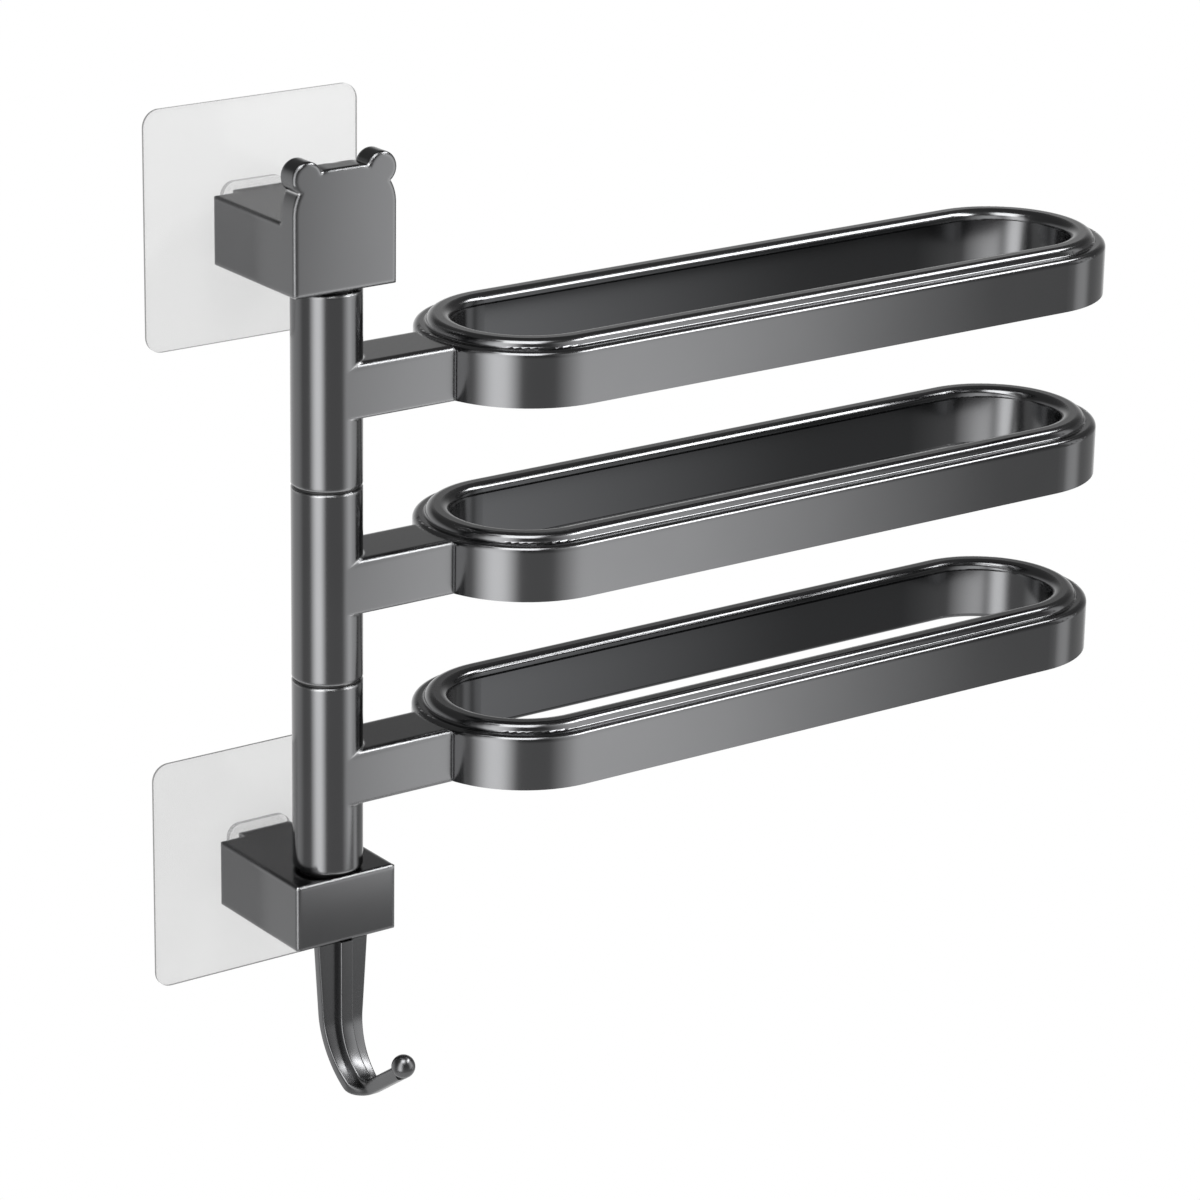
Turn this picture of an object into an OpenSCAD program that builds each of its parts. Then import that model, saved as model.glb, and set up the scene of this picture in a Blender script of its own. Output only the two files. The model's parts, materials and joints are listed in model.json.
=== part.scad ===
// Swing arm towel bar: three long open rings on short arms, each arm on its own sleeve round one
// upright shaft. Two brackets hold the shaft and hang on clear clips bonded to adhesive sheets.
// Millimetres. X runs to the right along the wall, Y into the wall, Z up. The origin is the
// centre of the lower adhesive sheet's back face, so the wall is the plane y = 0.

/* [Adhesive sheets] */
// Width and height of each clear adhesive sheet
sheet_w = 70; // [56:1:90]
// Thickness of each adhesive sheet
sheet_t = 0.8; // [0.5:0.1:1.2]
// Corner radius of each adhesive sheet
sheet_corner_r = 5; // [2:0.5:9]

/* [Hanger clips] */
// Width of a clip's base plate
clip_w = 21; // [18:0.5:30]
// Height of a clip's base plate
clip_h = 23.4; // [20:0.2:32]
// Thickness of a clip's base plate
clip_t = 1.6; // [1.2:0.1:3]
// Corner radius of a clip's base plate
clip_corner_r = 4; // [1:0.5:6]
// Width of the tongue's stem
stem_w = 7; // [5:0.5:8]
// Depth of the tongue's stem, from the base plate to the head
stem_d = 4.2; // [3.6:0.1:5]
// Width of the tongue's head
head_w = 12; // [10.5:0.25:13]
// Depth of the tongue's head
head_d = 2.4; // [1.6:0.1:3.2]
// Height of the tongue
tongue_h = 14; // [10:0.5:15]

/* [Brackets] */
// Width of both brackets
bracket_w = 33.5; // [30:0.5:40]
// Height of both brackets
bracket_h = 20.2; // [19:0.2:26]
// Distance from the wall to the wide part of a bracket
wall_gap = 7.1; // [6.2:0.1:9]
// Width of the neck behind a bracket
neck_w = 17.5; // [16:0.5:21]
// Distance between a clip's base plate and the neck
neck_gap = 2.4; // [0.4:0.1:2.8]
// Rounding of a bracket's edges
bracket_edge_r = 1; // [0.4:0.1:1.5]
// Material above the tongue's slot
slot_roof_t = 3.8; // [2.5:0.1:5]

/* [Eared face of the upper bracket] */
// Thickness of the eared face
face_t = 7.5; // [4:0.25:9]
// Height of the face from the bracket's bottom to its brow
face_h = 35.2; // [32:0.2:42]
// Radius of the face's upper corners
face_corner_r = 12; // [8:0.5:14]
// Radius of each ear
ear_r = 4.8; // [3.5:0.1:6]
// Distance between the ears' centres
ear_spread = 24; // [20:0.5:27]
// Depth of the ears' centres below the brow
ear_drop = 1.9; // [0.5:0.1:3.5]

/* [Shaft, bushes and washers] */
// Distance from the wall to the shaft's axis
axis_off = 39.7; // [38.5:0.1:50]
// Diameter of the shaft
shaft_d = 8; // [6:0.5:9]
// Cover between each end of the shaft and the bracket's outer face
shaft_cover = 6; // [5:0.25:7.5]
// Outer diameter of a bush, which is the bore of a sleeve
bush_d = 16; // [12:0.5:17]
// Length of a bush
bush_l = 12; // [8:0.5:18]
// Setback of a bush from the end of its sleeve
bush_inset = 0.5; // [0.2:0.1:1.5]
// Outer diameter of the two end washers
end_washer_d = 16.4; // [12:0.2:19]
// Thickness of the two end washers
end_washer_t = 0.8; // [0.5:0.1:1.5]
// Outer diameter of the two washers between the sleeves
seam_washer_d = 19; // [14:0.2:20]
// Thickness of the two washers between the sleeves
seam_washer_t = 0.5; // [0.3:0.1:1]

/* [Swing arms] */
// Outer diameter of a sleeve, which is the thickness of its arm too
sleeve_d = 20.4; // [19:0.2:24]
// Height of a sleeve
sleeve_h = 57; // [44:0.5:80]
// Chamfer on a sleeve's ends
sleeve_chamfer = 0.4; // [0.2:0.1:0.8]
// Distance from the shaft's axis to the near end of a ring
arm_reach = 35.1; // [30:0.5:50]
// Height of an arm
arm_h = 16; // [14.5:0.5:20]
// Rounding of an arm's upper edges
arm_edge_r = 2; // [1:0.1:3]
// Open seam between an arm and its ring
arm_seam = 0.2; // [0.1:0.05:0.4]

/* [Towel rings] */
// Overall length of a ring
ring_l = 241; // [150:1:320]
// Overall width of a ring
ring_w = 65; // [50:0.5:68]
// Width of a ring's rail
rail_w = 11.2; // [10.2:0.2:13]
// Height of a ring, to the top of its lip
ring_h = 18.9; // [18:0.1:24]
// Height of a ring's outer shoulder
shoulder_h = 16.3; // [14.5:0.1:16.8]
// Rounding of the outer shoulder
shoulder_r = 1.8; // [0.8:0.1:2.6]
// Width of the shoulder, out to the lip
step_w = 3.7; // [3.3:0.1:5]
// Rounding of the lip's outer edge
lip_r = 2.4; // [0.8:0.1:2.4]
// Rounding of the rail's upper edge along the slot
slot_edge_r = 3; // [0.8:0.1:3.6]
// Fillet at the lip's foot
lip_fillet_r = 0.8; // [0.4:0.1:1]
// Rounding of the rail's lower edge along the slot
slot_foot_r = 1.4; // [0.5:0.1:1.8]
// Thickness of a ring's two walls, beside the channel cored out of its underside
ring_wall_t = 2; // [1.4:0.1:2.6]
// Thickness of a ring's roof, from the channel up to the shoulder
ring_roof_t = 2.6; // [1.8:0.1:4]

/* [Hook] */
// Width of the hook at the bracket
hook_w = 16.8; // [13:0.2:22]
// Width of the hook where its bend begins
hook_waist_w = 13.8; // [11:0.2:16]
// Width of the hook at the foot of its bend
hook_heel_w = 10.6; // [7:0.2:11]
// Thickness of the hook's strap
hook_t = 3.1; // [2.4:0.1:3.6]
// Thickness of the bracket's wall in front of the hook
hook_cover = 1.9; // [1.2:0.1:2.2]
// Straight length of the hook below the bracket
hook_drop = 23.5; // [15:0.5:40]
// Inner radius of the hook's long bend
hook_bend_r = 20; // [14:0.5:30]
// Angle that the long bend turns through
hook_bend_angle = 58; // [45:1:65]
// Inner radius of the hook's tight bend
hook_toe_r = 6.2; // [5:0.1:9]
// Rise of the hook's tip above level
hook_rise_angle = 35; // [20:1:50]
// Length of the hook's straight tip
hook_tip_l = 17.5; // [12:0.5:24]
// Diameter of the ball on the hook's tip
hook_ball_d = 6.9; // [6:0.1:9]
// Width of the rib down the hook's front, which runs on as the tip
rib_w = 4.2; // [3:0.1:5]
// Height of the rib down the hook's front
rib_h = 2.2; // [1:0.1:3]
// Thickness of the hook's foot, which lies under the bracket
foot_t = 2.8; // [2:0.1:3.2]
// Length of the hook's foot behind the shaft's axis
foot_back = 7.5; // [6:0.5:12]

/* [Screws] */
// Thread diameter of the shaft screws
shaft_screw_d = 4; // [3:0.5:4.5]
// Length of the shaft screws below the head
shaft_screw_l = 14; // [11:0.5:18]
// Head diameter of the shaft screws
shaft_head_d = 7.4; // [6.5:0.1:8]
// Head height of the shaft screws
shaft_head_h = 2.4; // [1.8:0.1:2.8]
// Thread diameter of the ring screws
ring_screw_d = 3.5; // [2.5:0.25:4]
// Length of the ring screws with their heads
ring_screw_l = 20; // [16:0.5:22]
// Head diameter of the ring screws
ring_head_d = 6.8; // [5.5:0.1:7]
// Distance between the two screws of a ring
ring_screw_gap = 7.6; // [7.2:0.1:8]

/* [Hidden] */
$fn = 72;

// Clearances
tongue_side_gap = 0.3;
tongue_rest_gap = 0.1;
shaft_seat_gap = 0.05;
bush_running_gap = 0.05;
bush_seat_gap = 0.02;
washer_gap = 0.25;
end_play = 0.05;
thread_gap = 0.05;
screw_gap = 0.25;
head_gap = 0.3;
foot_gap = 0.15;
thread_end_gap = 1.5;
overrun = 1;

// Small details of the screws and edges
low_edge_r = 0.5;
fillet_bite = 0.01;
recess_w = 1;
recess_share = 0.6;
recess_depth_share = 0.5;

// Place of the hook's ball past the end of its tip, and towards the rib, as shares of its diameter
ball_reach_share = 0.32;
ball_lift_share = 0.16;

// Levels: the middle of the lower bracket is at zero
bracket_front = axis_off + sleeve_d / 2;
neck_back = sheet_t + clip_t + neck_gap;
first_sleeve_z = bracket_h / 2 + end_washer_t + end_play;
sleeve_pitch = sleeve_h + seam_washer_t + 2 * end_play;
stack_top_z = first_sleeve_z + 2 * sleeve_pitch + sleeve_h + end_play + end_washer_t;
upper_z = stack_top_z + bracket_h / 2;
function sleeve_z(i) = first_sleeve_z + i * sleeve_pitch;
function arm_z(i) = sleeve_z(i) + (sleeve_h - arm_h) / 2;

// Rings
ring_r = ring_w / 2;
ring_near_x = arm_reach + ring_r;
ring_far_x = arm_reach + ring_l - ring_r;
boss_w = ring_head_d + 2 * ring_wall_t;

// Hook: the strap's inner face runs straight down, round two bends and up the tip. Its outlines
// hold points of y and z, and grow leads outward from the inner face.
strap_y = hook_cover - bracket_front;
bend_y = strap_y - hook_bend_r;
bend_z = -bracket_h / 2 - hook_drop;
toe_y = bend_y + (hook_bend_r - hook_toe_r) * cos(hook_bend_angle);
toe_z = bend_z - (hook_bend_r - hook_toe_r) * sin(hook_bend_angle);
turn_angle = 90 + hook_rise_angle;
arc_steps = 24;
function round_bend(grow, a) = [bend_y, bend_z] + (hook_bend_r + grow) * [cos(a), -sin(a)];
function round_toe(grow, a) = [toe_y, toe_z] + (hook_toe_r + grow) * [cos(a), -sin(a)];
function tip_point(grow, past) =
    round_toe(grow, turn_angle) - (hook_tip_l + past) * [sin(turn_angle), cos(turn_angle)];
function hook_line(grow) = [
    [strap_y + grow, -bracket_h / 2],
    for (k = [0:arc_steps]) round_bend(grow, hook_bend_angle * k / arc_steps),
    for (k = [1:arc_steps]) round_toe(grow, hook_bend_angle + (turn_angle - hook_bend_angle) * k / arc_steps),
    tip_point(grow, 0)];
function hook_outline(inner, outer) = [
    each hook_line(inner),
    let (back = hook_line(outer)) for (k = [len(back) - 1:-1:0]) back[k]];
heel = round_bend(hook_t / 2, hook_bend_angle);
tip = round_toe(hook_t / 2, turn_angle);

// Finishes
module gunmetal() color([0.36, 0.37, 0.39]) children();
module clear_plastic() color([0.88, 0.92, 0.94, 0.4]) children();
module steel() color([0.76, 0.77, 0.79]) children();
module nylon() color([0.1, 0.1, 0.11]) children();

// A flat rectangle whose lower left corner is at zero, with its own radius at the bottom and top
module soft_rectangle(w, h, low_r, high_r) {
    translate([0, low_r]) square([w, h - low_r - high_r]);
    translate([low_r, 0]) square([w - 2 * low_r, low_r + (h - low_r - high_r) / 2]);
    translate([high_r, low_r]) square([w - 2 * high_r, h - low_r]);
    for (x = [low_r, w - low_r]) translate([x, low_r]) circle(low_r);
    for (x = [high_r, w - high_r]) translate([x, h - high_r]) circle(high_r);
}

// A block with rounded edges, from its lowest corner
module soft_block(size, r) {
    intersection() {
        linear_extrude(size.z) soft_rectangle(size.x, size.y, r, r);
        translate([0, size.y, 0]) rotate([90, 0, 0]) linear_extrude(size.y)
            soft_rectangle(size.x, size.z, r, r);
        rotate([90, 0, 90]) linear_extrude(size.x) soft_rectangle(size.y, size.z, r, r);
    }
}

module adhesive_sheet(z) {
    translate([-sheet_w / 2, 0, z - sheet_w / 2]) rotate([90, 0, 0])
        linear_extrude(sheet_t) soft_rectangle(sheet_w, sheet_w, sheet_corner_r, sheet_corner_r);
}

// The clip's tongue is a T in plan that the bracket's slot slides down over
module hanger_clip(z) {
    tongue_top = z + bracket_h / 2 - slot_roof_t - tongue_rest_gap;
    translate([-clip_w / 2, -sheet_t, z - clip_h / 2]) rotate([90, 0, 0])
        linear_extrude(clip_t) soft_rectangle(clip_w, clip_h, clip_corner_r, clip_corner_r);
    translate([0, 0, tongue_top - tongue_h]) linear_extrude(tongue_h) {
        translate([-stem_w / 2, -sheet_t - clip_t - stem_d - head_d / 2])
            square([stem_w, stem_d + head_d / 2]);
        translate([-head_w / 2, -sheet_t - clip_t - stem_d - head_d]) square([head_w, head_d]);
    }
}

module tongue_slot(z) {
    slot_h = bracket_h - slot_roof_t;
    head_front = sheet_t + clip_t + stem_d + head_d + tongue_side_gap;
    head_back = sheet_t + clip_t + stem_d - tongue_side_gap;
    half_stem = stem_w / 2 + tongue_side_gap;
    half_head = head_w / 2 + tongue_side_gap;
    translate([0, 0, z - bracket_h / 2 - overrun]) linear_extrude(slot_h + overrun) {
        translate([-half_stem, -head_front]) square([2 * half_stem, head_front]);
        translate([-half_head, -head_front]) square([2 * half_head, head_front - head_back]);
    }
}

// The wide part of a bracket, its neck and the slot for the clip's tongue
module bracket_body(z) {
    difference() {
        union() {
            translate([-bracket_w / 2, -bracket_front, z - bracket_h / 2])
                soft_block([bracket_w, bracket_front - wall_gap, bracket_h], bracket_edge_r);
            translate([-neck_w / 2, -wall_gap - 2 * bracket_edge_r, z - bracket_h / 2])
                cube([neck_w, wall_gap + 2 * bracket_edge_r - neck_back, bracket_h]);
        }
        tongue_slot(z);
    }
}

module at_axis(z) translate([0, -axis_off, z]) children();

module lower_bracket() {
    bottom = -bracket_h / 2;
    gunmetal() difference() {
        bracket_body(0);
        at_axis(bottom + shaft_cover) cylinder(h = bracket_h, d = shaft_d + 2 * shaft_seat_gap);
        at_axis(bottom - overrun) cylinder(h = bracket_h, d = shaft_screw_d + 2 * screw_gap);
        translate([-hook_w / 2 - foot_gap, strap_y - foot_gap, bottom - overrun])
            cube([hook_w + 2 * foot_gap, foot_back - axis_off - strap_y + 2 * foot_gap, foot_t + overrun]);
    }
}

// A disc of the eared face, lying on its back with both rims rounded
module face_disc(r) {
    rotate_extrude() intersection() {
        translate([-r, 0]) soft_rectangle(2 * r, face_t, bracket_edge_r, bracket_edge_r);
        square([r, face_t]);
    }
}

// The eared face, from the middle of the bracket's bottom edge: two slabs, two corners and two ears
module eared_face() {
    e = bracket_edge_r;
    corner_x = bracket_w / 2 - face_corner_r;
    corner_z = face_h - face_corner_r;
    translate([-bracket_w / 2, -bracket_front, e]) linear_extrude(corner_z - e)
        soft_rectangle(bracket_w, face_t, e, e);
    translate([-corner_x, -bracket_front, e]) rotate([90, 0, 90]) linear_extrude(2 * corner_x)
        soft_rectangle(face_t, face_h - e, e, e);
    translate([0, face_t - bracket_front, 0]) for (s = [-1, 1]) {
        translate([s * corner_x, 0, corner_z]) rotate([90, 0, 0]) face_disc(face_corner_r);
        translate([s * ear_spread / 2, 0, face_h - ear_drop]) rotate([90, 0, 0]) face_disc(ear_r);
    }
}

module upper_bracket() {
    top = upper_z + bracket_h / 2;
    gunmetal() difference() {
        union() {
            bracket_body(upper_z);
            translate([0, 0, upper_z - bracket_h / 2]) eared_face();
        }
        at_axis(top - shaft_cover - bracket_h) cylinder(h = bracket_h, d = shaft_d + 2 * shaft_seat_gap);
        at_axis(top - shaft_cover - overrun)
            cylinder(h = shaft_cover + 2 * overrun, d = shaft_screw_d + 2 * screw_gap);
        at_axis(top - shaft_head_h) cylinder(h = face_h, d = shaft_head_d + 2 * head_gap);
    }
}

// Front view of the strap, which narrows downwards to the heel of the bend
module strap_front() {
    top = -bracket_h / 2 + overrun;
    low = toe_z - hook_toe_r - hook_t - overrun;
    polygon([[-hook_w / 2, top], [-hook_w / 2, -bracket_h / 2], [-hook_waist_w / 2, bend_z],
        [-hook_heel_w / 2, heel.y], [-hook_heel_w / 2, low], [hook_heel_w / 2, low],
        [hook_heel_w / 2, heel.y], [hook_waist_w / 2, bend_z], [hook_w / 2, -bracket_h / 2],
        [hook_w / 2, top]]);
}

// Plan of the strap, which narrows forwards from the heel to the rib's width at the tip
module strap_plan() {
    back_y = strap_y + hook_t + overrun;
    front_y = toe_y - hook_toe_r - hook_tip_l - hook_t;
    polygon([[-hook_w / 2, back_y], [-hook_w / 2, strap_y], [-hook_heel_w / 2, heel.x], [-rib_w / 2, tip.x],
        [-rib_w / 2, front_y], [rib_w / 2, front_y], [rib_w / 2, tip.x], [hook_heel_w / 2, heel.x],
        [hook_w / 2, strap_y], [hook_w / 2, back_y]]);
}

// The strap and its rib, the ball at the tip and the foot that lies under the bracket
module hook() {
    top = -bracket_h / 2;
    depth = hook_drop + hook_bend_r + hook_toe_r + hook_t;
    ball = tip_point((hook_t - rib_h) / 2 - ball_lift_share * hook_ball_d, ball_reach_share * hook_ball_d);
    gunmetal() difference() {
        union() {
            intersection() {
                rotate([90, 0, 90]) linear_extrude(hook_w, center = true)
                    polygon(hook_outline(0, hook_t));
                rotate([90, 0, 0]) linear_extrude(2 * bracket_front + 2 * depth, center = true)
                    strap_front();
                translate([0, 0, top - depth]) linear_extrude(depth) strap_plan();
            }
            rotate([90, 0, 90]) linear_extrude(rib_w, center = true)
                polygon(hook_outline(-rib_h, hook_t / 2));
            translate([0, ball.x, ball.y]) rotate([-90, 0, 90]) rotate([0, 0, turn_angle])
                sphere(d = hook_ball_d);
            translate([-hook_w / 2, strap_y, top]) cube([hook_w, foot_back - axis_off - strap_y, foot_t]);
        }
        at_axis(top - overrun) cylinder(h = foot_t + 2 * overrun, d = shaft_screw_d + 2 * screw_gap);
    }
}

module pivot_shaft() {
    bottom = shaft_cover - bracket_h / 2;
    shaft_l = upper_z + bracket_h - 2 * shaft_cover;
    hole = shaft_screw_l + thread_end_gap - shaft_cover + shaft_head_h;
    steel() difference() {
        at_axis(bottom) cylinder(h = shaft_l, d = shaft_d);
        for (z = [bottom - overrun, bottom + shaft_l - hole])
            at_axis(z) cylinder(h = hole + overrun, d = shaft_screw_d + 2 * thread_gap);
    }
}

// A round headed screw standing on its head, with a cross recess
module shaft_screw() {
    slot_l = shaft_head_d * recess_share;
    slot_depth = shaft_head_h * recess_depth_share;
    steel() difference() {
        union() {
            cylinder(h = shaft_head_h, d = shaft_head_d);
            cylinder(h = shaft_head_h + shaft_screw_l, d = shaft_screw_d);
        }
        for (a = [0, 90]) rotate([0, 0, a])
            translate([-slot_l / 2, -recess_w / 2, -overrun]) cube([slot_l, recess_w, slot_depth + overrun]);
    }
}

module upper_shaft_screw() at_axis(upper_z + bracket_h / 2) rotate([180, 0, 0]) shaft_screw();

module lower_shaft_screw() at_axis(-bracket_h / 2 - shaft_head_h) shaft_screw();

module washer(z, d, t) {
    nylon() at_axis(z) difference() {
        cylinder(h = t, d = d);
        translate([0, 0, -overrun]) cylinder(h = t + 2 * overrun, d = shaft_d + 2 * washer_gap);
    }
}

module bush(z) {
    nylon() at_axis(z) difference() {
        cylinder(h = bush_l, d = bush_d - 2 * bush_seat_gap);
        translate([0, 0, -overrun]) cylinder(h = bush_l + 2 * overrun, d = shaft_d + 2 * bush_running_gap);
    }
}

module bottom_bush(i) bush(sleeve_z(i) + bush_inset);

module top_bush(i) bush(sleeve_z(i) + sleeve_h - bush_inset - bush_l);

// Places its children on a ring's two screw lines, with Z pointing from the slot into the arm
module ring_screw_lines(i) {
    for (s = [-1, 1])
        translate([arm_reach + rail_w, -axis_off, arm_z(i) + arm_h / 2 + s * ring_screw_gap / 2])
            rotate([0, -90, 0]) children();
}

// A sleeve and its arm are one casting, bored for the bushes and cut round to meet the ring
module swing_arm(i) {
    gunmetal() difference() {
        union() {
            at_axis(sleeve_z(i)) {
                cylinder(h = sleeve_chamfer, d1 = sleeve_d - 2 * sleeve_chamfer, d2 = sleeve_d);
                translate([0, 0, sleeve_chamfer]) cylinder(h = sleeve_h - 2 * sleeve_chamfer, d = sleeve_d);
                translate([0, 0, sleeve_h - sleeve_chamfer])
                    cylinder(h = sleeve_chamfer, d1 = sleeve_d, d2 = sleeve_d - 2 * sleeve_chamfer);
            }
            translate([0, -axis_off - sleeve_d / 2, arm_z(i)]) rotate([90, 0, 90])
                linear_extrude(ring_near_x) soft_rectangle(sleeve_d, arm_h, low_edge_r, arm_edge_r);
        }
        at_axis(sleeve_z(i) - overrun) cylinder(h = sleeve_h + 2 * overrun, d = bush_d);
        translate([ring_near_x, -axis_off, arm_z(i) - overrun])
            cylinder(h = arm_h + 2 * overrun, r = ring_r + arm_seam);
        ring_screw_lines(i) cylinder(h = ring_screw_l + thread_end_gap, d = ring_screw_d + 2 * thread_gap);
    }
}

// Section of a rail: its outer face is at zero and its slot face at rail_w
module rail_section() {
    square([rail_w - slot_foot_r, shoulder_h - shoulder_r]);
    translate([shoulder_r, 0]) square([rail_w - slot_foot_r - shoulder_r, shoulder_h]);
    translate([shoulder_r, shoulder_h - shoulder_r]) circle(shoulder_r);
    translate([step_w, 0]) square([lip_r, ring_h - lip_r]);
    translate([step_w + lip_r, ring_h - lip_r]) circle(lip_r);
    translate([step_w + lip_r, 0]) square([rail_w - step_w - lip_r - slot_edge_r, ring_h]);
    translate([rail_w - slot_edge_r, ring_h - slot_edge_r]) circle(slot_edge_r);
    translate([step_w, slot_foot_r])
        square([rail_w - step_w, ring_h - max(lip_r, slot_edge_r) - slot_foot_r]);
    translate([rail_w - slot_foot_r, slot_foot_r]) circle(slot_foot_r);
    lip_fillet();
}

// The fillet's circle touches the shoulder and just crosses the lip's rounding, or its side below that
module lip_fillet() {
    lip_centre = [step_w + lip_r, ring_h - lip_r];
    lift = max(0, shoulder_h + lip_fillet_r - lip_centre.y);
    reach = sqrt((lip_r + lip_fillet_r - fillet_bite) ^ 2 - lift ^ 2);
    touch_h = lift > 0 ? lip_centre.y + lip_r * lift / (lip_r + lip_fillet_r) : shoulder_h + lip_fillet_r;
    difference() {
        translate([lip_centre.x - reach, shoulder_h - lip_fillet_r])
            square([reach, touch_h - shoulder_h + lip_fillet_r]);
        translate([lip_centre.x - reach, shoulder_h + lip_fillet_r]) circle(lip_fillet_r);
    }
}

// Carries a section, whose outer side is at zero, once round a ring
module round_ring() {
    span = ring_far_x - ring_near_x;
    for (s = [0, 1]) mirror([0, s, 0]) translate([0, -ring_r, 0])
        rotate([90, 0, 90]) linear_extrude(span) children();
    rotate([0, 0, 90]) rotate_extrude(angle = 180) translate([ring_r, 0]) mirror([1, 0]) children();
    translate([span, 0, 0]) rotate([0, 0, -90])
        rotate_extrude(angle = 180) translate([ring_r, 0]) mirror([1, 0]) children();
}

// A ring is cored from below, but for the boss that its two screws pass through
module towel_ring(i) {
    gunmetal() difference() {
        translate([ring_near_x, -axis_off, arm_z(i)]) difference() {
            round_ring() rail_section();
            difference() {
                round_ring() translate([ring_wall_t, -overrun])
                    square([rail_w - 2 * ring_wall_t, shoulder_h - ring_roof_t + overrun]);
                translate([-ring_r, -boss_w / 2, -overrun]) cube([rail_w, boss_w, shoulder_h + overrun]);
            }
        }
        ring_screw_lines(i) {
            translate([0, 0, -overrun]) cylinder(h = rail_w + 2 * overrun, d = ring_screw_d + 2 * screw_gap);
            ring_screw_head(screw_gap);
        }
    }
}

// The countersunk head of a ring screw, and the seat for it
module ring_screw_head(grow) {
    cone_h = (ring_head_d - ring_screw_d) / 2;
    translate([0, 0, -overrun]) cylinder(h = overrun, d = ring_head_d + 2 * grow);
    cylinder(h = cone_h, d1 = ring_head_d + 2 * grow, d2 = ring_screw_d + 2 * grow);
}

module ring_screws(i) {
    cone_h = (ring_head_d - ring_screw_d) / 2;
    slot_l = ring_head_d * recess_share;
    steel() ring_screw_lines(i) difference() {
        union() {
            cylinder(h = cone_h, d1 = ring_head_d, d2 = ring_screw_d);
            cylinder(h = ring_screw_l, d = ring_screw_d);
        }
        for (a = [0, 90]) rotate([0, 0, a])
            translate([-slot_l / 2, -recess_w / 2, -overrun])
                cube([slot_l, recess_w, cone_h * recess_share + overrun]);
    }
}

clear_plastic() adhesive_sheet(0);  // lower_adhesive_sheet
clear_plastic() adhesive_sheet(upper_z);  // upper_adhesive_sheet
clear_plastic() hanger_clip(0);  // lower_hanger_clip
clear_plastic() hanger_clip(upper_z);  // upper_hanger_clip
lower_bracket();
upper_bracket();
hook();
pivot_shaft();
upper_shaft_screw();
lower_shaft_screw();
washer(bracket_h / 2, end_washer_d, end_washer_t);  // lower_end_washer
washer(stack_top_z - end_washer_t, end_washer_d, end_washer_t);  // upper_end_washer
washer(sleeve_z(1) - end_play - seam_washer_t, seam_washer_d, seam_washer_t);  // lower_seam_washer
washer(sleeve_z(2) - end_play - seam_washer_t, seam_washer_d, seam_washer_t);  // upper_seam_washer
swing_arm(0);  // lower_swing_arm
swing_arm(1);  // middle_swing_arm
swing_arm(2);  // upper_swing_arm
towel_ring(0);  // lower_towel_ring
towel_ring(1);  // middle_towel_ring
towel_ring(2);  // upper_towel_ring
ring_screws(0);  // lower_ring_screws
ring_screws(1);  // middle_ring_screws
ring_screws(2);  // upper_ring_screws
bottom_bush(0);  // lower_arm_bottom_bush
top_bush(0);  // lower_arm_top_bush
bottom_bush(1);  // middle_arm_bottom_bush
top_bush(1);  // middle_arm_top_bush
bottom_bush(2);  // upper_arm_bottom_bush
top_bush(2);  // upper_arm_top_bush
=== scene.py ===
import json
import math

import bmesh
import bpy
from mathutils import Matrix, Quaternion, Vector


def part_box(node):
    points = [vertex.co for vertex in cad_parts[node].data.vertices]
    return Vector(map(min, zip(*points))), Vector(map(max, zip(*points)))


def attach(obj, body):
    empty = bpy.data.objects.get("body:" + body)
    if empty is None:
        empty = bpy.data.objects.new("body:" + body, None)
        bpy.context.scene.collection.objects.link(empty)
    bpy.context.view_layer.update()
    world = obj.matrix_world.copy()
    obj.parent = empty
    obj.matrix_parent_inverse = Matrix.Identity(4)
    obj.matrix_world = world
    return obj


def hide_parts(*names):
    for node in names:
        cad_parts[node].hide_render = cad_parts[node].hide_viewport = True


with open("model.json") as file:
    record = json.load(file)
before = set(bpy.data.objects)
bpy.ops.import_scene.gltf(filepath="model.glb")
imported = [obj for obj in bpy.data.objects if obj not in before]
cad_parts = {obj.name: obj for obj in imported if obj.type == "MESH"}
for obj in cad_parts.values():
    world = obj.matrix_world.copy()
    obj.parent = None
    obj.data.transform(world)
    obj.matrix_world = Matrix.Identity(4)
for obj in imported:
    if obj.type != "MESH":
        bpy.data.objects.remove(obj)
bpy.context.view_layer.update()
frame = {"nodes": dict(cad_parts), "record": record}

MM = 0.001
SHAFT_Y = -39.7 * MM

# Hook: the sizes of the solid that it stands for, with softer edges and a tip that rounds into a rod
BRACKET_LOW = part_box("lower_bracket")[0]
HOOK_LOW, HOOK_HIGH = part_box("hook")
HOOK_W = HOOK_HIGH.x - HOOK_LOW.x
HOOK_COVER = 1.9 * MM
STRAP_Y = BRACKET_LOW.y + HOOK_COVER
STRAP_T = 3.1 * MM
STRAP_DROP = 23.5 * MM
BEND_R, BEND_ANGLE = 20 * MM, 58
TOE_R, TOE_ANGLE = 6.2 * MM, 125
TIP_L, TIP_T = 17.5 * MM, 2.2 * MM
RIB_W, RIB_H = 4.2 * MM, 2.2 * MM
WAIST_W, HEEL_W = 13.8 * MM, 10.6 * MM
FOOT_T, FOOT_CORNER_R = 2.8 * MM, 3.5 * MM
BALL_R = 3.45 * MM
BALL_REACH, BALL_LIFT = 2.2 * MM, 1.1 * MM
EDGE_R, TIP_EDGE_R = 0.55 * MM, 1.7 * MM
SCREW_HOLE_R = 2.25 * MM

# Hook: where its rib begins under the bracket, the least ledge beside the rib, and the largest radius
# of each edge as a share of the thickness, the ledge or the rib that carries it
RIB_GAP, RIB_RAMP, LEDGE_W = 0.05 * MM, 0.02 * MM, 0.02 * MM
BACK_EDGE_SHARE, FRONT_EDGE_SHARE, LEDGE_EDGE_SHARE, RIB_EDGE_SHARE = 0.48, 0.4, 0.9, 0.9

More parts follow.
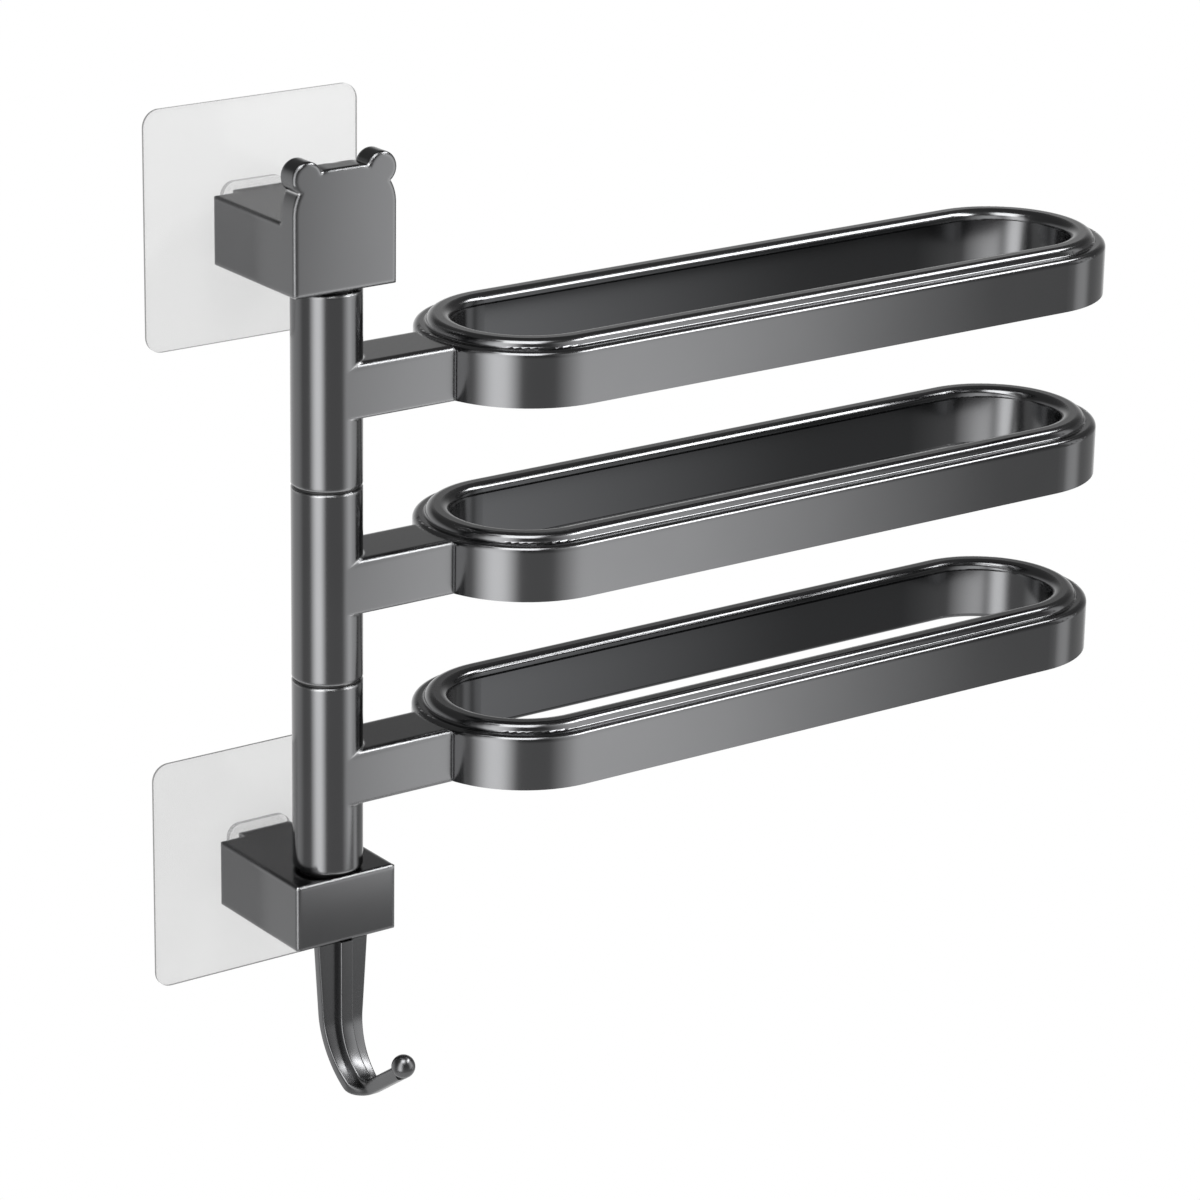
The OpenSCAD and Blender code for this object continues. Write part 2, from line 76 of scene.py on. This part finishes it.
# Hook: how finely its mesh is cut, how near points merge, and from what angle an edge stays sharp
FOOT_STEPS, DROP_STEPS, BEND_STEPS, TOE_STEPS, TIP_STEPS, CORNER_STEPS = 8, 6, 18, 16, 8, 5
BALL_DIVISIONS, HOLE_SIDES = 5, 48
MERGE_DISTANCE = 0.002 * MM
SHARP_ANGLE = 40

# Ring slots: the ends of the slot's middle line, and half its width
RING_LOW, RING_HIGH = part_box("lower_towel_ring")
RING_R = (RING_HIGH.y - RING_LOW.y) / 2
RAIL_W = 11.2 * MM
SLOT_HALF_W = RING_R - RAIL_W
SLOT_NEAR_X, SLOT_FAR_X = RING_LOW.x + RING_R, RING_HIGH.x - RING_R

# Painted shade in the slots: how far it reaches past the walls and the free end, and its soft rims
SLOT_SHADE_MARGIN, SLOT_SHADE_FADE = 0.5 * MM, 0.25 * MM
SLOT_SHADE_END_MARGIN, SLOT_SHADE_END_FADE = 5 * MM, 20 * MM

# Gunmetal plating: its darkest and lightest tone, its painted highlight on sharp edges and its painted shade
# in the slots
PLATING_TONES = (0.118, 0.119, 0.122), (0.140, 0.141, 0.144)
EDGE_HIGHLIGHT_TONE = (0.56, 0.562, 0.568)
SLOT_SHADE_TONE = (0.055, 0.056, 0.058)
EDGE_SPREAD, EDGE_HIGHLIGHT_CONTRAST, EDGE_SAMPLES = 1.4 * MM, 6.0, 10

# Other finishes: the darkest and lightest tone of each, and the painted shade on clear plastic's cut edges
STEEL_TONES = (0.50, 0.51, 0.53), (0.64, 0.65, 0.67)
NYLON_GREYS = 0.012, 0.026
FLOOR_GREYS = 0.82, 0.84
CLEAR_RIM_SHADE_GREY = 0.16
CLEAR_IOR = 1.46

# Camera: where it looks, how far off it stands, and its turn in degrees
CAMERA_TARGET = Vector((95, -40, 73.2)) * MM
CAMERA_DISTANCE = 1.4
CAMERA_AZIMUTH, CAMERA_ELEVATION, CAMERA_ROLL = -35.8, 19.36, 1.02
IMAGE_SIDE_PX, FOCAL_PX = 1200, 4740
SENSOR_W = 36.0

# Floor: a disc below the object, with its share of white glow in the middle
FLOOR_Z, FLOOR_R = -0.4, 0.5
FLOOR_MIDDLE = Vector((CAMERA_TARGET.x, CAMERA_TARGET.y, FLOOR_Z))
FLOOR_GLOW_SHARE = 0.6
FLOOR_SIDES = 128

# Backdrop: how far back a ray must point to meet it, how high it may point, and how soon it fades
BACKDROP_DEPTH, DEPTH_SLOPE = 0.4, 3
BACKDROP_TOP, TOP_SLOPE = 0.39, 2

# Dim studio: its level all round, what the backdrop adds, and what it gains from low down
STUDIO_LEVEL, BACKDROP_LEVEL = 0.15, 0.5
LOW_LEVEL, LOW_FALL = 0.15, 0.4

# Lamps: how softly the dark sides of a lamp meet its even middle
LAMP_FADE_SOFTNESS = 0.3


# Shader maths

# The colour sockets of a Mix node: both ends and the result
MIX_LOW, MIX_HIGH, MIX_RESULT = 6, 7, 2


class Term:
    """A value on a socket, which sums and products turn into Math nodes."""

    def __init__(self, paint, socket):
        self.paint, self.socket = paint, socket

    def math(self, operation, *others, clamp=False):
        settings = {"operation": operation, "use_clamp": clamp}
        return self.paint.node("ShaderNodeMath", settings, {0: self, **dict(enumerate(others, 1))})

    def clamped(self):
        return self.math("MULTIPLY", 1.0, clamp=True)

    def __add__(self, other):
        return self.math("ADD", other)

    __radd__ = __add__

    def __mul__(self, other):
        return self.math("MULTIPLY", other)

    __rmul__ = __mul__

    def __sub__(self, other):
        return self.math("SUBTRACT", other)

    def __rsub__(self, other):
        return self.paint.node("ShaderNodeMath", {"operation": "SUBTRACT"}, {0: other, 1: self})

    def __pow__(self, other):
        return self.math("POWER", other)


class Paint:
    """The nodes of a material, a lamp or the world, with one method that adds any node."""

    def __init__(self, owner):
        owner.use_nodes = True
        self.owner = owner
        self.tree = owner.node_tree
        self.tree.nodes.clear()

    def node(self, kind, settings=None, inputs=None, out=0):
        made = self.tree.nodes.new(kind)
        for name, value in (settings or {}).items():
            setattr(made, name, value)
        for key, value in (inputs or {}).items():
            if isinstance(value, Term):
                self.tree.links.new(value.socket, made.inputs[key])
            else:
                made.inputs[key].default_value = value
        return Term(self, made.outputs[out])

    def place(self):
        return self.node("ShaderNodeTexCoord", out="Object")

    def split(self, vector, axis):
        return self.node("ShaderNodeSeparateXYZ", {}, {0: vector}, out=axis)

    def vector_math(self, operation, *vectors, out="Value"):
        return self.node("ShaderNodeVectorMath", {"operation": operation}, dict(enumerate(vectors)), out)

    def noise(self, scale, detail=2):
        return self.node("ShaderNodeTexNoise", {}, {"Vector": self.place(), "Scale": scale, "Detail": detail})

    def blend(self, factor, low, high):
        low, high = (end if isinstance(end, Term) else (*end, 1) for end in (low, high))
        inputs = {"Factor": factor, MIX_LOW: low, MIX_HIGH: high}
        return self.node("ShaderNodeMix", {"data_type": "RGBA"}, inputs, out=MIX_RESULT)

    def bump(self, height, strength, depth, normal=None):
        inputs = {"Strength": strength, "Distance": depth, "Height": height}
        if normal:
            inputs["Normal"] = normal
        return self.node("ShaderNodeBump", {}, inputs)

    def surface(self, inputs):
        return self.finish(self.node("ShaderNodeBsdfPrincipled", {}, inputs))

    def finish(self, shader, kind="ShaderNodeOutputMaterial"):
        output = self.tree.nodes.new(kind)
        self.tree.links.new(shader.socket, output.inputs["Surface"])
        return self.owner


def new_paint(name):
    return Paint(bpy.data.materials.new(name))


def grey(value):
    return (value, value, value)


# Finishes

def slot_shade_mask(paint):
    """Where the painted shade goes: one on the walls inside the rings' slots, by the distance from the
    slot's middle line, and none at the slots' free ends."""
    place = paint.place()
    x, y = paint.split(place, "X"), paint.split(place, "Y")
    past_end = (SLOT_NEAR_X - x).math("MAXIMUM", x - SLOT_FAR_X).math("MAXIMUM", 0.0)
    reach = (past_end ** 2 + (y - SHAFT_Y) ** 2) ** 0.5
    inside = ((SLOT_HALF_W + SLOT_SHADE_MARGIN - reach) * (1 / SLOT_SHADE_FADE)).clamped()
    return inside * ((SLOT_FAR_X + SLOT_SHADE_END_MARGIN - x) * (1 / SLOT_SHADE_END_FADE)).clamped()


def gunmetal(name, gloss_loss=0.14, edges=False, slots=False):
    """Satin gunmetal plating: smooth, with a little drift in tone and gloss. With edges, sharp edges
    get a soft corner with a painted highlight. With slots, the walls inside the rings' slots get painted
    shade."""
    paint = new_paint(name)
    drift = paint.noise(scale=24, detail=3)
    grain = paint.noise(scale=1500)
    tone = paint.blend(drift, *PLATING_TONES)
    soft = None
    if edges:
        soft = paint.node("ShaderNodeBevel", {"samples": EDGE_SAMPLES}, {"Radius": EDGE_SPREAD})
        face = paint.node("ShaderNodeNewGeometry", out="Normal")
        facing = paint.vector_math("DOT_PRODUCT", soft, face)
        # Painted highlight: the base colour turns light towards sharp edges, where the bevel normal leans
        # away
        edge = (1 - facing).math("MULTIPLY", EDGE_HIGHLIGHT_CONTRAST, clamp=True)
        tone = paint.blend(edge, tone, EDGE_HIGHLIGHT_TONE)
    if slots:
        # Painted shade: the base colour turns dark on the walls inside the ring slots
        tone = paint.blend(slot_shade_mask(paint), tone, SLOT_SHADE_TONE)
    return paint.surface({
        "Base Color": tone, "Metallic": 1.0, "Roughness": drift * 0.05 + gloss_loss + grain * 0.01,
        "Normal": paint.bump(grain, strength=0.01, depth=0.02 * MM, normal=soft)})


def bright_steel():
    """Turned steel of the shaft and screws, with fine rings round the turning axis."""
    paint = new_paint("turned_steel")
    rings = paint.node("ShaderNodeTexWave", {"bands_direction": "Z"},
                       {"Vector": paint.place(), "Scale": 900.0, "Distortion": 1.5, "Detail": 2.0})
    wear = paint.noise(scale=120, detail=4)
    return paint.surface({
        "Base Color": paint.blend(wear, *STEEL_TONES), "Metallic": 1.0, "Roughness": wear * 0.15 + 0.2,
        "Normal": paint.bump(rings, strength=0.1, depth=0.02 * MM)})


def black_nylon():
    """Moulded black nylon of the bushes and washers."""
    paint = new_paint("black_nylon")
    cloud = paint.noise(scale=350, detail=4)
    return paint.surface({
        "Base Color": paint.blend(cloud, *map(grey, NYLON_GREYS)), "Roughness": cloud * 0.2 + 0.4,
        "Normal": paint.bump(cloud, strength=0.2, depth=0.03 * MM)})


def clear_moulding(name, face_grey, face_alpha, rim_alpha):
    """Clear plastic that is faint through its faces, with painted shade and more opacity on its cut edges."""
    paint = new_paint(name)
    normal = paint.node("ShaderNodeNewGeometry", out="Normal")
    flat = paint.split(normal, "Y").math("ABSOLUTE").math("POWER", 3.0)
    cloud = paint.noise(scale=60)
    alpha = (flat * (face_alpha - rim_alpha) + rim_alpha + cloud * 0.02).math("MINIMUM", 1.0)
    return paint.surface({
        # Painted shade: faces that do not face along Y, the cut edges, take the dark rim grey
        "Base Color": paint.blend(flat, grey(CLEAR_RIM_SHADE_GREY), grey(face_grey)), "Alpha": alpha,
        "Roughness": cloud * 0.05 + 0.12, "IOR": CLEAR_IOR,
        "Normal": paint.bump(cloud, strength=0.05, depth=0.05 * MM)})


def dress_nodes():
    """Gives every carried-over node its finish, by its material slot in the record. The rings have
    a plating of their own, with painted shade in their slots."""
    finishes = {
        "gunmetal": gunmetal("gunmetal_painted_edge_highlights", edges=True),
        "towel_ring": gunmetal("ring_plating_painted_slot_shade", slots=True),
        "steel": bright_steel(),
        "nylon": black_nylon(),
        "clear_plastic": clear_moulding("clear_clip", face_grey=0.62, face_alpha=0.12, rim_alpha=0.5),
        "clear_sheet": clear_moulding("clear_sheet", face_grey=0.50, face_alpha=0.24, rim_alpha=0.85),
    }
    slots = {row["node"]: row["material_slot"] for row in frame["record"]["subparts"]}
    for name, piece in frame["nodes"].items():
        kind = "towel_ring" if name.endswith("towel_ring") else slots[name]
        for slot in piece.material_slots:
            slot.material = finishes[kind]


# Hook

def direction(degrees):
    """Outward direction in the hook's side view, as y and z, at an angle down from the wall."""
    return Vector((0, math.cos(math.radians(degrees)), -math.sin(math.radians(degrees))))


def between(low, high, share):
    return low + (high - low) * share


def eased(share):
    return share * share * (3 - 2 * share)


def hook_stations():
    """Places along the strap's front face: point, outward direction, strap width, thickness,
    rib height and edge radius. Comes with the direction in which the tip points."""
    stations = []

    def add(point, outward, width, thick, rib, edge):
        stations.append((point, outward, width, thick, rib, edge))

    # The foot lies under the bracket, and the strap turns down at its front end
    foot_top = BRACKET_LOW.z + FOOT_T
    corner = Vector((0, STRAP_Y + FOOT_CORNER_R, foot_top - FOOT_CORNER_R))
    for y in (HOOK_HIGH.y, (HOOK_HIGH.y + corner.y) / 2):
        add(Vector((0, y, foot_top)), Vector((0, 0, -1)), HOOK_W, FOOT_T, 0, EDGE_R)
    for k in range(FOOT_STEPS + 1):
        share = k / FOOT_STEPS
        outward = direction(90 - 90 * share)
        add(corner - outward * FOOT_CORNER_R, outward, HOOK_W, between(FOOT_T, STRAP_T, share), 0, EDGE_R)

    # Straight drop, where the rib begins right under the bracket
    bend_z = BRACKET_LOW.z - STRAP_DROP
    rib_top = BRACKET_LOW.z - RIB_GAP
    levels = [(rib_top, 0), (rib_top - RIB_RAMP, RIB_H)]
    levels += [(between(rib_top, bend_z, k / DROP_STEPS), RIB_H) for k in range(1, DROP_STEPS)]
    for z, rib in levels:
        width = between(HOOK_W, WAIST_W, (BRACKET_LOW.z - z) / STRAP_DROP)
        add(Vector((0, STRAP_Y, z)), direction(0), width, STRAP_T, rib, EDGE_R)

    # Long bend down to the heel
    bend = Vector((0, STRAP_Y - BEND_R, bend_z))
    heel_drop = math.sin(math.radians(BEND_ANGLE))
    for k in range(BEND_STEPS + 1):
        angle = BEND_ANGLE * k / BEND_STEPS
        width = between(WAIST_W, HEEL_W, math.sin(math.radians(angle)) / heel_drop)
        add(bend + BEND_R * direction(angle), direction(angle), width, STRAP_T, RIB_H, EDGE_R)

    # Tight bend at the toe, where the strap narrows to the rib and rounds into a rod
    toe = bend + (BEND_R - TOE_R) * direction(BEND_ANGLE)
    for k in range(1, TOE_STEPS + 1):
        angle = between(BEND_ANGLE, TOE_ANGLE, k / TOE_STEPS)
        ease = eased(k / TOE_STEPS)
        add(toe + TOE_R * direction(angle), direction(angle), between(HEEL_W, RIB_W, ease),
            between(STRAP_T, TIP_T, ease), RIB_H, between(EDGE_R, TIP_EDGE_R, ease))

    # Straight tip up to the ball
    outward = direction(TOE_ANGLE)
    along = Vector((0, outward.z, -outward.y))
    start = toe + TOE_R * outward
    for k in range(1, TIP_STEPS + 1):
        add(start + along * TIP_L * k / TIP_STEPS, outward, RIB_W, TIP_T, RIB_H, TIP_EDGE_R)
    return stations, along


def round_corner(centre_x, centre_n, radius, from_deg, to_deg):
    angles = [math.radians(between(from_deg, to_deg, k / CORNER_STEPS)) for k in range(CORNER_STEPS + 1)]
    return [(centre_x + radius * math.cos(a), centre_n + radius * math.sin(a)) for a in angles]


def strap_section(width, thick, rib, edge):
    """Right half, then left half, of the strap's section: x across and n outward from its front."""
    rib_half = RIB_W / 2
    half = max(width / 2, rib_half + LEDGE_W)
    back_r = min(edge, thick * BACK_EDGE_SHARE)
    front_r = min(EDGE_R, (half - rib_half) * LEDGE_EDGE_SHARE, thick * FRONT_EDGE_SHARE)
    rib_r = min(edge, rib * RIB_EDGE_SHARE) if rib else 0
    right = [(0, -rib)]
    right += round_corner(rib_half - rib_r, -rib + rib_r, rib_r, -90, 0)
    right += [(rib_half, 0)]
    right += round_corner(half - front_r, front_r, front_r, -90, 0)
    right += round_corner(half - back_r, thick - back_r, back_r, 0, 90)
    right += [(0, thick)]
    left = [(-x, n) for x, n in reversed(right[1:-1])]
    return right + left


def mesh_object(name, mesh_maker):
    mesh = bpy.data.meshes.new(name)
    shape = bmesh.new()
    mesh_maker(shape)
    bmesh.ops.recalc_face_normals(shape, faces=shape.faces[:])
    shape.to_mesh(mesh)
    shape.free()
    made = bpy.data.objects.new(name, mesh)
    bpy.context.scene.collection.objects.link(made)
    return made


def apply_modifiers(piece):
    """Turns a piece's modifiers into plain mesh."""
    graph = bpy.context.evaluated_depsgraph_get()
    done = bpy.data.meshes.new_from_object(piece.evaluated_get(graph))
    piece.modifiers.clear()
    piece.data = done


def combine(piece, tool, operation):
    """Joins a tool mesh to a piece, or cuts it away, and removes the tool."""
    modifier = piece.modifiers.new("combine", "BOOLEAN")
    modifier.operation, modifier.object, modifier.solver = operation, tool, "EXACT"
    apply_modifiers(piece)
    bpy.data.objects.remove(tool)


def make_hook(finish):
    """The strap swept along its bends, with its rib, its ball and the hole for the shaft screw."""
    stations, along = hook_stations()

    def sweep(shape):
        rows = []
        for point, outward, *sizes in stations:
            rows.append([shape.verts.new(point + Vector((x, 0, 0)) + outward * n)
                         for x, n in strap_section(*sizes)])
        count = len(rows[0])
        for low, high in zip(rows, rows[1:]):
            for k in range(count):
                shape.faces.new((low[k], low[(k + 1) % count], high[(k + 1) % count], high[k]))
        shape.faces.new(reversed(rows[0]))
        shape.faces.new(rows[-1])
        bmesh.ops.remove_doubles(shape, verts=shape.verts[:], dist=MERGE_DISTANCE)

    hook = mesh_object("coat_hook", sweep)
    end, outward = stations[-1][:2]
    centre = end + outward * ((TIP_T - RIB_H) / 2 - BALL_LIFT) + along * BALL_REACH

    def ball(shape):
        bmesh.ops.create_icosphere(shape, subdivisions=BALL_DIVISIONS, radius=BALL_R)
        bmesh.ops.translate(shape, verts=shape.verts[:], vec=centre)

    def drill(shape):
        bmesh.ops.create_cone(shape, cap_ends=True, segments=HOLE_SIDES, radius1=SCREW_HOLE_R,
                              radius2=SCREW_HOLE_R, depth=4 * FOOT_T)
        bmesh.ops.translate(shape, verts=shape.verts[:], vec=Vector((0, SHAFT_Y, BRACKET_LOW.z)))

    combine(hook, mesh_object("ball_tool", ball), "UNION")
    combine(hook, mesh_object("drill_tool", drill), "DIFFERENCE")
    hook.data.materials.clear()
    hook.data.materials.append(finish)
    hook.data.shade_smooth()
    hook.data.set_sharp_from_angle(angle=math.radians(SHARP_ANGLE))
    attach(hook, "wall_mount")
    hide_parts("hook")


# Studio

def background_rays(paint):
    """One for camera rays, and one for rays that go on from metal or through clear plastic."""
    camera, mirrored, passed = (paint.node("ShaderNodeLightPath", out=name)
                                for name in ("Is Camera Ray", "Is Glossy Ray", "Is Transmission Ray"))
    return camera, mirrored.math("MAXIMUM", passed)


def make_floor():
    """A round pale floor, which keeps the object's shadow and fades to white at its rim."""
    paint = new_paint("pale_floor")
    tone = paint.blend(paint.noise(scale=3), *map(grey, FLOOR_GREYS))
    matte = paint.node("ShaderNodeBsdfDiffuse", {}, {"Color": tone})
    glow = paint.node("ShaderNodeEmission", {}, {"Color": (1, 1, 1, 1), "Strength": 1.0})
    camera, mirrored = background_rays(paint)
    offset = paint.vector_math("SUBTRACT", paint.place(), FLOOR_MIDDLE, out="Vector")
    reach = paint.vector_math("LENGTH", offset)
    rim = (reach * (1 / FLOOR_R)) ** 2
    share = (rim * (1 - FLOOR_GLOW_SHARE) + FLOOR_GLOW_SHARE).math("MINIMUM", 1.0)
    whiteness = camera.math("MAXIMUM", mirrored) * share
    mix = paint.node("ShaderNodeMixShader", {}, {0: whiteness, 1: matte, 2: glow})

    def disc(shape):
        bmesh.ops.create_circle(shape, cap_ends=True, segments=FLOOR_SIDES, radius=FLOOR_R)
        bmesh.ops.translate(shape, verts=shape.verts[:], vec=FLOOR_MIDDLE)

    floor = mesh_object("studio_floor", disc)
    floor.data.materials.append(paint.finish(mix))


def make_world():
    """White all round for the camera. Metal and clear plastic show it where it stands, behind the
    object and up to a little above it, and show a dim studio elsewhere."""
    world = bpy.data.worlds.new("studio")
    bpy.context.scene.world = world
    paint = Paint(world)
    way = paint.node("ShaderNodeTexCoord", out="Generated")
    depth, height = paint.split(way, "Y"), paint.split(way, "Z")
    behind = ((depth - BACKDROP_DEPTH) * DEPTH_SLOPE).clamped()
    below_top = ((BACKDROP_TOP - height) * TOP_SLOPE).clamped()
    backdrop = behind * below_top
    camera, mirrored = background_rays(paint)
    white = camera.math("MAXIMUM", mirrored * backdrop)
    low_glow = (LOW_LEVEL - height * LOW_FALL).math("MAXIMUM", 0.0)
    dim = backdrop * BACKDROP_LEVEL + low_glow + STUDIO_LEVEL
    strength = dim + (1 - dim) * white
    paint.finish(paint.node("ShaderNodeBackground", {}, {"Color": (1, 1, 1, 1), "Strength": strength}),
                 "ShaderNodeOutputWorld")


def softbox(name, place, aim, size, level, fade):
    """A rectangular lamp. Level is its brightness, where the backdrop is 1. Fade is the share of its
    width over which its left and its right side go dark."""
    light = bpy.data.lights.new(name, "AREA")
    light.shape = "RECTANGLE"
    light.size, light.size_y = size
    light.energy = level * math.pi * size[0] * size[1]
    paint = Paint(light)
    across = paint.split(paint.node("ShaderNodeNewGeometry", out="Parametric"), "X")
    left, right = (side * (1 / share) for side, share in zip((across, 1 - across), fade))
    shade = left.math("MINIMUM", right).math("SMOOTH_MIN", 1.0, LAMP_FADE_SOFTNESS)
    paint.finish(paint.node("ShaderNodeEmission", {}, {"Strength": shade}), "ShaderNodeOutputLight")
    lamp = bpy.data.objects.new(name, light)
    bpy.context.scene.collection.objects.link(lamp)
    lamp.location = place
    lamp.rotation_mode = "QUATERNION"
    lamp.rotation_quaternion = (Vector(place) - Vector(aim)).to_track_quat("Z", "Y")
    lamp.visible_camera = False


def make_lights():
    softbox("left_softbox", place=(-0.76, -0.46, 0.4), aim=(0.1, -0.04, 0.4), size=(0.86, 1.7), level=3.5,
            fade=(0.4, 0.35))
    softbox("front_card", place=(0.185, -0.2, 0.115), aim=(0.185, 0, 0.115), size=(0.28, 0.37), level=1.8,
            fade=(0.3, 0.5))
    softbox("right_softbox", place=(0.95, -0.42, 0.05), aim=(0.1, -0.04, 0.09), size=(0.4, 1.1), level=1.0,
            fade=(0.3, 0.3))
    softbox("top_strip", place=(0.65, -0.35, 0.8), aim=(0.15, -0.04, 0.12), size=(0.8, 0.18), level=14.0,
            fade=(0.15, 0.15))
    softbox("top_softbox", place=(-0.2, -0.35, 1.0), aim=(0.05, -0.06, 0.12), size=(0.7, 0.6), level=7.0,
            fade=(0.2, 0.2))


def make_camera():
    camera = bpy.data.cameras.new("photo_camera")
    camera.sensor_width = SENSOR_W
    camera.lens = SENSOR_W * FOCAL_PX / IMAGE_SIDE_PX
    holder = bpy.data.objects.new("photo_camera", camera)
    bpy.context.scene.collection.objects.link(holder)
    azimuth, elevation = math.radians(CAMERA_AZIMUTH), math.radians(CAMERA_ELEVATION)
    away = Vector((math.sin(azimuth) * math.cos(elevation), -math.cos(azimuth) * math.cos(elevation),
                   math.sin(elevation)))
    holder.location = CAMERA_TARGET + away * CAMERA_DISTANCE
    holder.rotation_mode = "QUATERNION"
    roll = Quaternion((0, 0, 1), math.radians(CAMERA_ROLL))
    holder.rotation_quaternion = away.to_track_quat("Z", "Y") @ roll
    bpy.context.scene.camera = holder


make_camera()
dress_nodes()
make_hook(gunmetal("hook_plating", gloss_loss=0.24))
make_floor()
make_world()
make_lights()
bpy.context.scene.view_settings.view_transform = "Standard"
